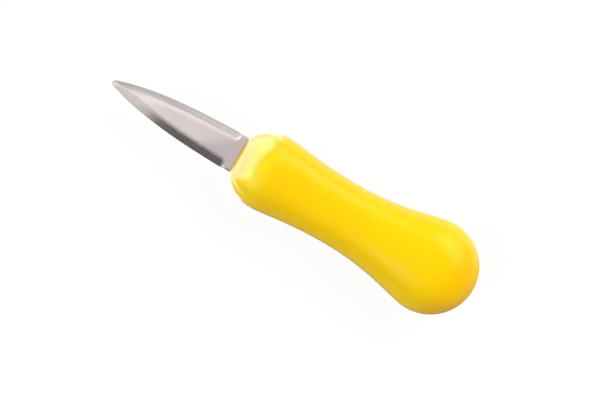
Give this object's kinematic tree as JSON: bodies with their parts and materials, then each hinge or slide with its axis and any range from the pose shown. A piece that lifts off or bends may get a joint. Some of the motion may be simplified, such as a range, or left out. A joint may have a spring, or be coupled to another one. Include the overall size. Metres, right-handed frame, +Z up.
{
  "type": "oyster knife",
  "caption": "Short pointed double-bevelled steel blade moulded into a thick waisted plastic handle, for prying oyster shells open.",
  "frame": {"origin": "under the middle of the knife's length, on the surface that it lies on", "axes": "+X from the blade's point to the handle's butt, +Y across the blade, +Z up through the blade's flat"},
  "size_m": [0.182, 0.0426, 0.031],
  "materials": {
    "blade_steel": "satin ground stainless steel",
    "handle_plastic": "semi-gloss moulded yellow polypropylene"
  },
  "bodies": {
    "root": {"blade": "blade_steel", "handle": "handle_plastic"}
  },
  "joints": []
}
